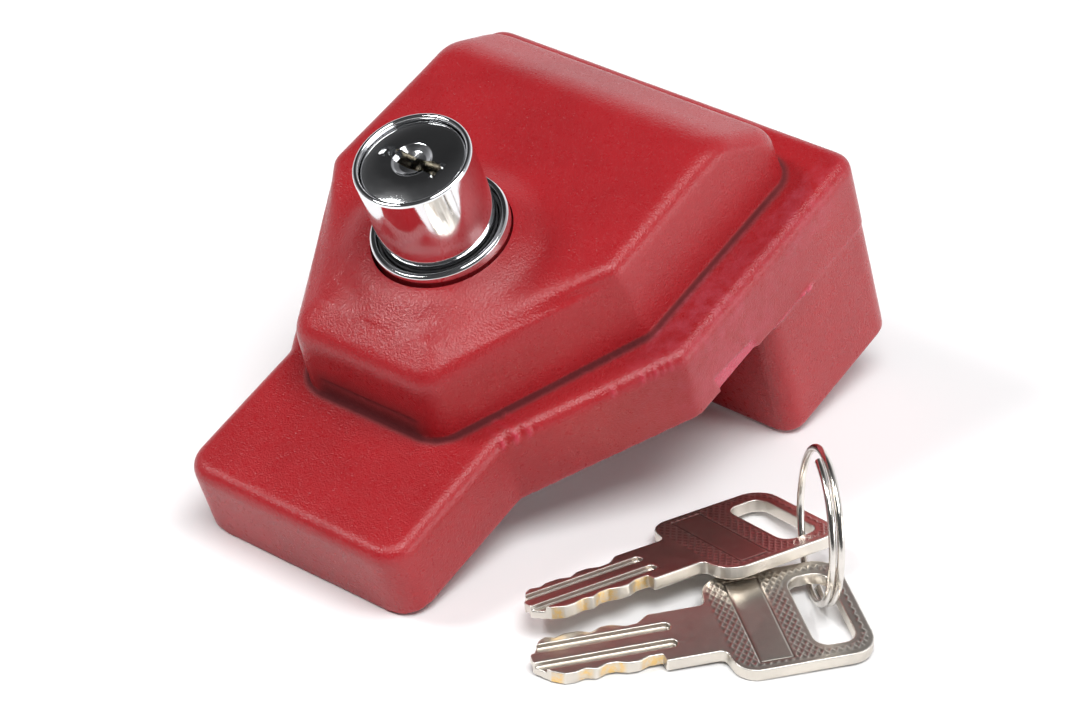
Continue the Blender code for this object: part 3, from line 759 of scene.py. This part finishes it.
def build_housing():
    """The red skin: soft noise and small damage pushed along its normals, masks painted on it."""
    skin = Skin(housing_solid())
    skin.smooth(4)
    blend_boss(skin)
    normal = skin.normals()
    x, y, z = skin.co.T  # views, so they follow every change of skin.co
    outside = (z > 1.0) | (np.abs(y) > 23) | (x > LEG_X) | (x < COVER_X0 - 2)
    push = 0.045 * lattice_noise(skin.co, 13, 1) + 0.018 * lattice_noise(skin.co, 5, 2)
    push += 0.012 * lattice_noise(skin.co, 1.6, 3)
    shift_far_side(skin)
    line, blob = flash_marks(skin, normal)
    push += 0.14 * line + 0.5 * blob
    trim = trim_marks(skin)
    push -= trim * (0.30 + 0.10 * np.clip(2.5 - z, 0, 3))
    nicks = nick_marks(skin)
    push += 0.26 * nicks
    # A fine line along the dome's front wall, with painted shade deepening below it.
    front = ((x < 29) & (z > PLATE_T - 0.2)) * rise(-normal[:, 0] - 0.2, 0.6)
    ends = rise(14.0 - np.abs(y), 4.0)
    groove = bell(z - 19.4, 0.30) * front * rise(11.5 - np.abs(y + 0.5), 1.5)
    push -= 0.16 * groove
    scuff = scuff_marks(skin)
    skin.co += normal * (push * outside)[:, None]

    bend = skin.bend(3)
    foot = np.abs(z - PLATE_T) < 0.9
    depth = rise(-bend - np.where(foot, 0.006, 0.015), 0.02)
    shade = 0.9 * front * ends * rise(23.0 - z, 6.0) + 0.35 * groove
    skin.paint("edge", rise(bend - 0.004, 0.016))
    # Painted shade: creases, the dome's foot and its front wall below the fine line are darkened and
    # dulled.
    skin.paint("painted_shade", np.maximum(depth, shade))
    skin.paint("scuff", scuff)
    skin.paint("polish", (z > 28) * bell(x - 35.5, 4.5) * bell(y + 6, 7.5))
    # Flash, blobs and trim are painted pink; the nicks' paint is a painted highlight on their glossy
    # streaks.
    scar_and_glint = line * 0.55 + blob * 1.2 + trim * 0.75 + np.clip(nicks, 0, 1) * 0.5
    skin.paint("flash_and_glint", np.clip(scar_and_glint, 0, 1) * outside)
    skin.store()
    hole = moved(rod(12.68, 20, 50, (-0.27, -0.12), 160), CYLINDER_TO_LOCK)
    mesh = drilled(thinned(skin.mesh, 0.45), hole)
    piece("housing_shell", mesh, RED, LOCK, "case", ["housing"], sharp=50)


def build_bead():
    """The thin bead where the dome meets the plate, painted dark as shade in the joint, rough and with
    paler painted glints on the near side.
    """
    outline = rounded(mirrored([(x, y + 0.02, 6.0) for x, y, _ in DOME_FOOT]), 14)
    ring = [Vector((p[0], p[1], PLATE_T + 0.22)) for p in outline]
    points = []
    for a, b in zip(ring, ring[1:] + ring[:1]):
        count = max(1, round((b - a).length / 0.25))
        points += [a.lerp(b, k / count) for k in range(count)]
    points.append(points[0])
    flat = np.array([tuple(p) for p in points])
    rough = lattice_noise(flat, 0.7, 21) + 0.7 * lattice_noise(flat, 0.4, 22)
    seen = rise(-flat[:, 1] - 4, 8) * rise(78 - flat[:, 0], 14)
    radii = 0.05 + 0.075 * seen * np.clip(rough, -0.4, 1)
    points = [p + Vector((0, 0, 0.04 * r)) for p, r in zip(points, rough)]
    sides = 8
    mesh = to_mesh("bead", sweep(points, list(radii), sides, up=(0, 0, 1)))
    pale = np.repeat(np.clip(rough * 1.4 - 0.2, 0, 1) * seen, sides)
    # Painted shade darkens the bead; its paler bits are painted glints.
    for name, values in (("edge", pale), ("flash_and_glint", 0.35 * pale), ("painted_shade", 0.9 * (1 - pale))):
        layer = mesh.attributes.new(name, "FLOAT", "POINT")
        layer.data.foreach_set("value", values.astype(np.float32))
    piece("dome_bead", mesh, RED, LOCK, "case", [], sharp=0)


# ---------------------------------------------------------------- cover and fixed pieces
def build_cover():
    """The plate, its seal and its four screws, closing the cavity from below."""
    sink = [(0, 3.0), (2.25, 3.0), (2.25, 1.85), (4.5, -0.4), (4.5, -0.42), (0, -0.42)]
    cuts = [moved(rod(6.9, -3, 8), CYLINDER_TO_LOCK)]
    cuts += [moved(lathe(sink, 48, 0), Matrix.Translation((x, y, 0))) for x, y in SCREW_SPOTS]
    plate = combine(prism(cover_outline(0, 4, 12), 0.2, 2.0), cuts=cuts, bevel=0.15)
    piece("cover_plate", plate, ZINC, LOCK, "case", ["base_cover"], 30)
    cuts = [moved(rod(15.6, -3, 9), CYLINDER_TO_LOCK)]
    cuts += [rod(2.4, 0, 6, spot, 32) for spot in SCREW_SPOTS]
    seal = combine(prism(cover_outline(0.8, 4, 12), 2.1, 2.9), cuts=cuts)
    piece("cover_seal", seal, RUBBER, LOCK, "case", ["cover_gasket"], 30)
    for i, (x, y) in enumerate(SCREW_SPOTS, 1):
        screw = lathe([(0, 13.2), (1.95, 12.6), (1.95, 1.9), (3.7, 0.25), (0, 0.25)], 48, 0.1)
        drive = [moved(box((-2.0, -0.35, -0.5), (2.0, 0.35, 1.3)),
                       Matrix.Rotation(math.radians(a), 4, "Z"))
                 for a in (45 + 11 * i, 135 + 11 * i)]
        piece(f"screw_{i}", combine(screw, cuts=drive), ZINC, place(LOCK, (x, y, 0)), "case",
              [f"cover_screw_{i}"], 30)


def build_sleeve():
    """The sleeve with its collar and two cam grooves, and what sits in and round it."""
    slack = 0.3
    sleeve = lathe([
        (12.0, SLEEVE_TOP), (SLEEVE_R, SLEEVE_TOP - 0.38), (SLEEVE_R, SLEEVE_SHOULDER),
        (SLEEVE_BODY_R, SLEEVE_SHOULDER), (SLEEVE_BODY_R, SLEEVE_LOW), (6.4, SLEEVE_LOW),
        (6.4, 4.6), (SLEEVE_BORE, 4.6), (SLEEVE_BORE, CAM_LOW - TRAVEL - slack),
        (GROOVE_R, CAM_LOW - TRAVEL - slack), (GROOVE_R, CAM_HIGH - TRAVEL + slack),
        (SLEEVE_BORE, CAM_HIGH - TRAVEL + slack), (SLEEVE_BORE, CAM_LOW - slack),
        (GROOVE_R, CAM_LOW - slack), (GROOVE_R, CAM_HIGH + slack), (SLEEVE_BORE, CAM_HIGH + slack),
        (SLEEVE_BORE, 35.6), (11.22, 35.6), (11.22, SLEEVE_TOP - 0.5), (11.3, SLEEVE_TOP - 0.05)],
        144, 0.1)
    pin = moved(rod(1.3, 9.0, 14.0, steps=32), Matrix.Translation((0, 0, GUIDE_PIN_Z))
                @ Matrix.Rotation(math.radians(90), 4, "Y"))
    way = box((-GROOVE_R + 0.2, -2.8, CAM_LOW - TRAVEL - 0.2), (-9.5, 2.8, CAM_HIGH + 0.2))
    piece("sleeve_collar", combine(sleeve, cuts=(way, pin)), CHROME, CYLINDER, "case",
          ["lock_sleeve"], 50)
    seal = [(14.8, 27.6), (14.8, 27.0), (12.7, 27.0), (12.7, 27.6)]
    piece("collar_seal", to_mesh("s", lathe(seal, 96, 0.15)), RUBBER, CYLINDER, "case",
          ["sleeve_gasket"])
    lip = [(11.05, 36.9), (11.15, 36.7), (11.15, 35.75), (10.62, 35.75), (10.62, 36.8), (10.75, 36.9)]
    piece("wiper_lip", to_mesh("w", lathe(lip, 128, 0.1)), RUBBER, CYLINDER, "case",
          ["wiper_seal"])
    bush = [(10.2, 5.5), (10.2, 4.7), (6.0, 4.7), (6.0, 0.6), (4.15, 0.6), (4.15, 5.5)]
    piece("pin_bush", to_mesh("b", lathe(bush, 96, 0.15)), BRASS, CYLINDER, "case",
          ["guide_bush"])
    pin = moved(lathe([(0, 12.25), (1.2, 12.25), (1.2, 9.45), (0, 9.45)], 32, 0.15),
                Matrix.Translation((0, 0, GUIDE_PIN_Z)) @ Matrix.Rotation(math.radians(90), 4, "Y"))
    piece("barrel_guide_pin", to_mesh("g", pin), ZINC, CYLINDER, "case", ["guide_pin"])


def build_spring():
    """The return spring, with closed end coils."""
    steps = 40
    count = int(SPRING_TURNS * steps)
    points = []
    for k in range(count + 1):
        t = k / (SPRING_TURNS * steps)
        climb = min(max((t - 0.09) / 0.82, 0), 1)
        a = 2 * math.pi * k / steps
        points.append(Vector((SPRING_R * math.cos(a), SPRING_R * math.sin(a), SPRING_LOW + SPRING_WIRE
                              + climb * (SPRING_HIGH - SPRING_LOW - 2 * SPRING_WIRE))))
    spring = piece("coil_spring", to_mesh("c", sweep(points, SPRING_WIRE, 12)), ZINC, CYLINDER, "case",
                   ["return_spring"], 60)
    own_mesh(spring)


# ---------------------------------------------------------------- plunger and plug
def build_barrel():
    barrel = lathe([
        (9.72, BARREL_TOP - 0.02), (10.1, BARREL_TOP), (BARREL_R - 0.12, BARREL_TOP - 0.16),
        (BARREL_R, BARREL_TOP - 0.5), (BARREL_R, BARREL_LOW + 0.4), (BARREL_R - 0.4, BARREL_LOW),
        (8.4, BARREL_LOW), (8.4, 29.0), (PLUG_R + 0.12, 29.0), (PLUG_R + 0.12, 51.0),
        (PLUG_HEAD_R + 0.15, 51.0), (PLUG_HEAD_R + 0.15, BARREL_TOP - 0.25)], 160, 0.14)
    way = box((9.25, -1.35, GUIDE_PIN_Z - 1.35), (12.0, 1.35, GUIDE_PIN_Z + TRAVEL + 1.35))
    piece("barrel", combine(barrel, cuts=[way]), CHROME, CYLINDER, "plunger",
          ["plunger_barrel"], 50)


# Wards cut into the plug's face beside the keyway: (y from, y to, half width, depth).
WARDS = ((3.2, 4.0, 1.1, 1.5), (4.0, 4.7, 0.75, 0.7), (4.7, 5.4, 1.25, 1.3), (5.4, 6.1, 0.9, 0.6),
         (6.1, 6.9, 1.2, 1.1), (-6.2, -5.2, 1.7, 0.8))


def build_plug():
    """The plug with its dished face and keyway, and what turns with it."""
    face = PLUG_FACE
    profile = [(0, face - 0.95), (1.2, face - 0.9), (2.4, face - 0.66), (3.2, face - 0.28),
               (3.55, face - 0.03), (3.7, face + 0.03), (3.9, face + 0.02), (5.2, face - 0.05),
               (6.6, face - 0.18), (7.9, face - 0.40), (PLUG_HEAD_R - 0.25, face - 0.60),
               (PLUG_HEAD_R, face - 0.85),
               (PLUG_HEAD_R, 51.15), (PLUG_R, 51.15), (PLUG_R, 28.5), (6.1, 28.5), (6.1, 27.3),
               (PLUG_R, 27.3), (PLUG_R, 26.6), (4.9, 26.6), (4.9, 23.9), (0, 23.9)]
    # The square tail that drives the cam, then the pin's bore, the keyway and the wafer slots.
    cuts = [box((low[0], low[1], 20), (high[0], high[1], 26.55))
            for low, high in (((3.5, -8), (8, 8)), ((-8, -8), (-3.5, 8)),
                              ((-8, 3.5), (8, 8)), ((-8, -8), (8, -3.5)))]
    cuts += [rod(2.6, 20, 30.2, steps=48), box((-1.25, -5.3, 31.5), (1.25, 3.3, 60))]
    cuts += [box((-half, y0, face - deep), (half, y1, 60)) for y0, y1, half, deep in WARDS]
    cuts += [box((-3.2, -7.6, z - 0.75), (3.2, 7.6, z + 0.75)) for z in WAFER_Z]
    plug = combine(lathe(profile, 144, 0.1), cuts=cuts)
    piece("plug", plug, PLUG_CHROME, CYLINDER, "plug", ["key_plug"], 35)

    for i, (z, shift) in enumerate(zip(WAFER_Z, WAFER_SHIFT), 1):
        wafer = box((-3.0, -6.2, z - 0.65), (3.0, 6.2, z + 0.65))
        window = box((-1.5, shift - 5.3, z - 2), (1.5, shift + 5.3, z + 2))
        piece(f"wafer_plate_{i}", combine(wafer, cuts=[window], bevel=0.08), BRASS, CYLINDER, "plug",
              [f"wafer_{i}"], 30)
    clip = combine(lathe([(8.1, 28.35), (8.1, 27.45), (6.25, 27.45), (6.25, 28.35)], 96, 0.08),
                   cuts=[box((0, -3.0, 27), (10, 3.0, 29))])
    piece("snap_clip", clip, ZINC, CYLINDER, "plug", ["plug_clip"], 40)
    disc_r, tab_reach, tab_half = 9.6, 12.8, 2.5
    turn = math.asin(tab_half / disc_r)
    outline = [(disc_r * math.cos(a), disc_r * math.sin(a)) for a in
               (math.pi + turn + (2 * math.pi - 2 * turn) * k / 80 for k in range(81))]
    outline += [(-tab_reach, tab_half), (-tab_reach, -tab_half)]
    cam = combine(prism(outline, CAM_LOW, CAM_HIGH), cuts=[box((-3.6, -3.6, 20), (3.6, 3.6, 30))],
                  bevel=0.15)
    piece("cam", cam, ZINC, CYLINDER, "plug", ["lock_cam"], 30)
    pin = [(0, 29.8), (2.1, 29.8), (2.4, 29.4), (2.4, 23.6), (6.5, 23.6), (6.5, 22.0), (4.0, 22.0),
           (4.0, 1.9), (3.0, 0.9), (0, 0.9)]
    piece("port_pin", to_mesh("p", lathe(pin, 96, 0.18)), ZINC, CYLINDER, "plug",
          ["locking_pin"])


def build_spring_seat():
    seat = [(8.8, 21.8), (8.8, 21.0), (4.3, 21.0), (4.3, 21.8)]
    piece("spring_washer", to_mesh("w", lathe(seat, 80, 0.15)), ZINC, CYLINDER, "plunger",
          ["spring_seat"])


# ---------------------------------------------------------------- keys and ring
# Half widths along the cut edges of the blade, from the tip: (x, half width).
FAR_EDGE = ((0, 1.0), (2.4, 4.4), (3.6, 5.0), (5.2, 4.4), (6.8, 5.1), (9.2, 5.1), (11.2, 4.2),
            (13.0, 5.1), (15.0, 5.2), (17.3, 4.3), (19.2, 4.4), (20.6, 5.4), (21.5, KEY_COLLAR_HALF))
NEAR_EDGE = ((0, 1.0), (2.4, 3.8), (4.4, 5.0), (6.2, 5.0), (8.2, 4.5), (9.8, 5.1), (11.6, 4.3),
             (13.4, 4.3), (15.2, 5.0), (17.0, 5.1), (18.8, 4.3), (21.4, 4.3), (21.5, KEY_COLLAR_HALF))
BLADE_END = 21.45
BOW_X0, SLOT_X0, SLOT_X1, SLOT_HALF = 31.4, 46.6, 53.9, 9.0
STRIP_X0, STRIP_X1, STRIP_HALF = 36.2, 42.3, 10.6
FLUTES = ((2.35, 1.45, 4), (-2.0, 1.45, 4), (0.3, -2, 0.75))  # y, from z, to z
FLUTE_HALF, FLUTE_END = 0.95, 23.5
KNURL_PITCH = 1.05
KEY_BODIES = {"key_1": "first_key", "key_2": "second_key"}


def inside_round_box(x, y, low, high, half, radius):
    """Distance inside a rounded rectangle, negative outside, in mm."""
    cx, hx = (low + high) / 2, (high - low) / 2
    qx, qy = np.abs(x - cx) - (hx - radius), np.abs(y) - (half - radius)
    out = np.hypot(np.maximum(qx, 0), np.maximum(qy, 0)) + np.minimum(np.maximum(qx, qy), 0)
    return radius - out


def key_blank():
    """A key's solid: the cut blade with its flutes, the collar, and the bow with its slot."""
    corners = [(x, -w, 0.35 if x else 0.3) for x, w in NEAR_EDGE]
    bow = [(31.6, KEY_COLLAR_HALF, 1.2), (32.6, KEY_BOW_HALF, 4.2), (KEY_LEN, KEY_BOW_HALF, 4.6)]
    corners += mirrored(bow)
    corners += [(x, w, 0.35 if x else 0.3) for x, w in reversed(FAR_EDGE)]
    corners = [(x, y, 0.12 if abs(x - BLADE_END) < 0.1 else r) for x, y, r in corners]
    hole = rounded([(SLOT_X0, -SLOT_HALF, 2.6), (SLOT_X1, -SLOT_HALF, 2.4),
                    (SLOT_X1, SLOT_HALF, 2.4), (SLOT_X0, SLOT_HALF, 2.6)], 8)
    cuts = [prism(hole, -2, 6)]
    for y, low, high in FLUTES:
        cuts.append(box((-2, y - FLUTE_HALF, low), (FLUTE_END, y + FLUTE_HALF, high)))
        end = rod(FLUTE_HALF, low, high, steps=24)
        cuts.append(moved(end, Matrix.Translation((FLUTE_END, y, 0))))
    return combine(prism(rounded(corners, 6), 0, KEY_T), cuts=cuts, voxel=0.15)


def build_key(name, seed):
    """A key with a knurled bow, a framed plain strip across it, and masks for wear, painted shade and
    a painted highlight.
    """
    skin = Skin(key_blank())
    skin.smooth(3, 0.55)
    normal = skin.normals()
    x, y, z = skin.co.T  # views, so they follow every change of skin.co
    bow = inside_round_box(x, y, BOW_X0, KEY_LEN, KEY_BOW_HALF, 4.4)
    slot = -inside_round_box(x, y, SLOT_X0, SLOT_X1, SLOT_HALF, 2.5)
    room = np.minimum(np.minimum(bow - 1.0, slot - 0.9), x - 31.8)
    strip = (x > STRIP_X0) & (x < STRIP_X1) & (np.abs(y) < STRIP_HALF)
    strip_edge = np.minimum(np.minimum(x - STRIP_X0, STRIP_X1 - x), STRIP_HALF - np.abs(y))
    upper = rise(np.abs(normal[:, 2]) - 0.8, 0.15) * (slot > 0)
    field = rise(room, 0.25) * rise(-strip_edge, 0.2)
    u, v = (x * 0.82 + y * 0.57) / KNURL_PITCH, (x * 0.82 - y * 0.57) / KNURL_PITCH
    knurl = np.maximum(bell((u % 1) - 0.5, 0.17), bell((v % 1) - 0.5, 0.17))
    frame_line = bell(np.where(strip, strip_edge, 9.0) - 0.12, 0.2) * rise(room, 0.2)
    # Painted shade between the knurl's raised lines and in the strip's framing groove.
    painted_shade = (1 - knurl) * field * upper * 0.40 + frame_line * upper * 0.8
    push = 0.09 * knurl * field * upper
    push -= 0.12 * frame_line * upper
    push += 0.015 * lattice_noise(skin.co, 4.0, seed) + 0.006 * lattice_noise(skin.co, 0.9, seed + 1)
    skin.co += normal * push[:, None]

    bend = skin.bend(1)
    # The knurl's raised lines are painted paler as a painted highlight.
    skin.paint("edge", np.maximum((bend - 0.002) / 0.012, 0.75 * knurl * field * upper))
    flute_floor = (x < 24.2) & (np.abs(normal[:, 2]) > 0.9) & (z < 1.62) & (z > 1.3)
    # Painted shade also in creases and on the flute floors.
    skin.paint("painted_shade", painted_shade + rise(-bend - 0.004, 0.02) * 0.6 + 0.15 * flute_floor)
    side = np.abs(normal[:, 2]) < 0.6
    valleys = (np.abs(y) > 3.7) * rise(4.95 - np.abs(y), 0.3)
    skin.paint("cut", side * (x > 1.2) * (x < 21.3) * valleys)
    skin.store()
    piece(name + "_blank", thinned(skin.mesh, 0.5), NICKEL[name], KEYS[name], KEY_BODIES[name],
          [name], sharp=0)


def build_ring():
    """The split ring: one and a half turns of round wire, side by side."""
    steps = 128
    total = int(RING_TURNS * steps)
    points = []
    for k in range(total + 1):
        a = math.radians(RING_START) + 2 * math.pi * k / steps
        z = (k / total - 0.5) * (2 * RING_WIRE + 0.08) * RING_TURNS
        points.append(Vector((RING_R * math.cos(a), RING_R * math.sin(a), z)))
    mesh = to_mesh("ring", sweep(points, RING_WIRE * 0.985, 16, squash=0.97, up=(0, 0, 1)))
    piece("ring_wire", mesh, WIRE, RING, "ring", ["split_ring"], 50)


build_housing()
build_bead()
build_cover()
build_sleeve()
build_spring()
build_barrel()
build_plug()
build_spring_seat()
build_key("key_1", 31)
build_key("key_2", 41)
build_ring()


# ---------------------------------------------------------------- floor, light, camera
# Brightness of the surroundings by height, then along one direction, and a dark patch that the
# plug's face mirrors.
SKY = ((0.0, 1.0), (0.35, 0.85), (0.62, 0.42), (1.0, 0.30))
BRIGHT_TOWARDS = (0.85, 0.15, 0.05)
SIDES = ((0.0, 0.05), (0.35, 0.25), (0.62, 0.85), (1.0, 1.25))
DARK_TOWARDS = (0.20, 0.56, 0.80)
DARK_PATCH = ((0.70, 1.0), (0.93, 0.25), (0.98, 0.10))


def softbox(name, at, width, height, power):
    """A rectangular light that looks at the object."""
    light = bpy.data.lights.new(name, "AREA")
    light.shape, light.size, light.size_y = "RECTANGLE", width, height
    light.energy = power
    obj = bpy.data.objects.new(name, light)
    obj.location = at
    obj.rotation_euler = (Vector((0, 0, 0.02)) - Vector(at)).to_track_quat("-Z", "Y").to_euler()
    scene.collection.objects.link(obj)


def build_stage():
    bm = bmesh.new()
    bmesh.ops.create_grid(bm, x_segments=8, y_segments=8, size=3.0)
    floor = bpy.data.objects.new("floor", to_mesh("floor", bm))
    floor.data.materials.append(floor_paint())
    floor.location.z = -0.00002
    scene.collection.objects.link(floor)
    softbox("main_light", (-0.22, -0.42, 1.18), 0.85, 0.7, 14.2)
    softbox("left_light", (-0.47, 0.53, 0.88), 0.24, 0.24, 5.2)
    softbox("right_light", (0.50, -1.40, 0.30), 0.8, 0.4, 6.0)


def build_world():
    world = bpy.data.worlds.new("studio")
    scene.world = world
    world.use_nodes = True
    tree = world.node_tree
    background = tree.nodes["Background"]
    coords = tree.nodes.new("ShaderNodeTexCoord").outputs["Generated"]

    def node(kind, *inputs, operation=None):
        new = tree.nodes.new(kind)
        if operation:
            new.operation = operation
        for socket, value in zip(new.inputs, inputs):
            if isinstance(value, bpy.types.NodeSocket):
                tree.links.new(value, socket)
            elif value is not None:
                socket.default_value = value
        return new

    def ramp(value, stops):
        new = node("ShaderNodeValToRGB", value)
        while len(new.color_ramp.elements) < len(stops):
            new.color_ramp.elements.new(0.5)
        for element, (at, grey) in zip(new.color_ramp.elements, stops):
            element.position, element.color = at, (grey, grey, grey * 1.01, 1)
        return new.outputs["Color"]

    height = node("ShaderNodeSeparateXYZ", coords).outputs["Z"]
    sky = ramp(height, SKY)
    facing = node("ShaderNodeVectorMath", coords, Vector(DARK_TOWARDS).normalized(),
                  operation="DOT_PRODUCT").outputs["Value"]
    patch = ramp(facing, DARK_PATCH)
    side = node("ShaderNodeVectorMath", coords, Vector(BRIGHT_TOWARDS).normalized(),
                operation="DOT_PRODUCT").outputs["Value"]
    side = node("ShaderNodeMath", side, 0.5, 0.5, operation="MULTIPLY_ADD").outputs[0]
    colour = node("ShaderNodeVectorMath", sky, patch, operation="MULTIPLY").outputs["Vector"]
    colour = node("ShaderNodeVectorMath", colour, ramp(side, SIDES),
                  operation="MULTIPLY").outputs["Vector"]
    tree.links.new(colour, background.inputs["Color"])
    background.inputs["Strength"].default_value = 1.0


CAMERA_LENS = 121.87
CAMERA_AT = (-0.429689, -0.330884, 0.365472)
CAMERA_RIGHT = (0.62823, -0.77802, -0.00338)
CAMERA_AHEAD = (0.65779, 0.53346, -0.53172)


def build_camera():
    camera = bpy.data.cameras.new("camera")
    camera.lens, camera.sensor_width = CAMERA_LENS, 36.0
    camera.clip_start, camera.clip_end = 0.01, 20.0
    obj = bpy.data.objects.new("camera", camera)
    right = Vector(CAMERA_RIGHT).normalized()
    back = -Vector(CAMERA_AHEAD).normalized()
    up = back.cross(right).normalized()
    right = up.cross(back).normalized()
    obj.matrix_world = Matrix((
        (right.x, up.x, back.x, CAMERA_AT[0]),
        (right.y, up.y, back.y, CAMERA_AT[1]),
        (right.z, up.z, back.z, CAMERA_AT[2]),
        (0, 0, 0, 1)))
    scene.collection.objects.link(obj)
    scene.camera = obj


build_stage()
build_world()
build_camera()
scene.view_settings.view_transform = "Standard"
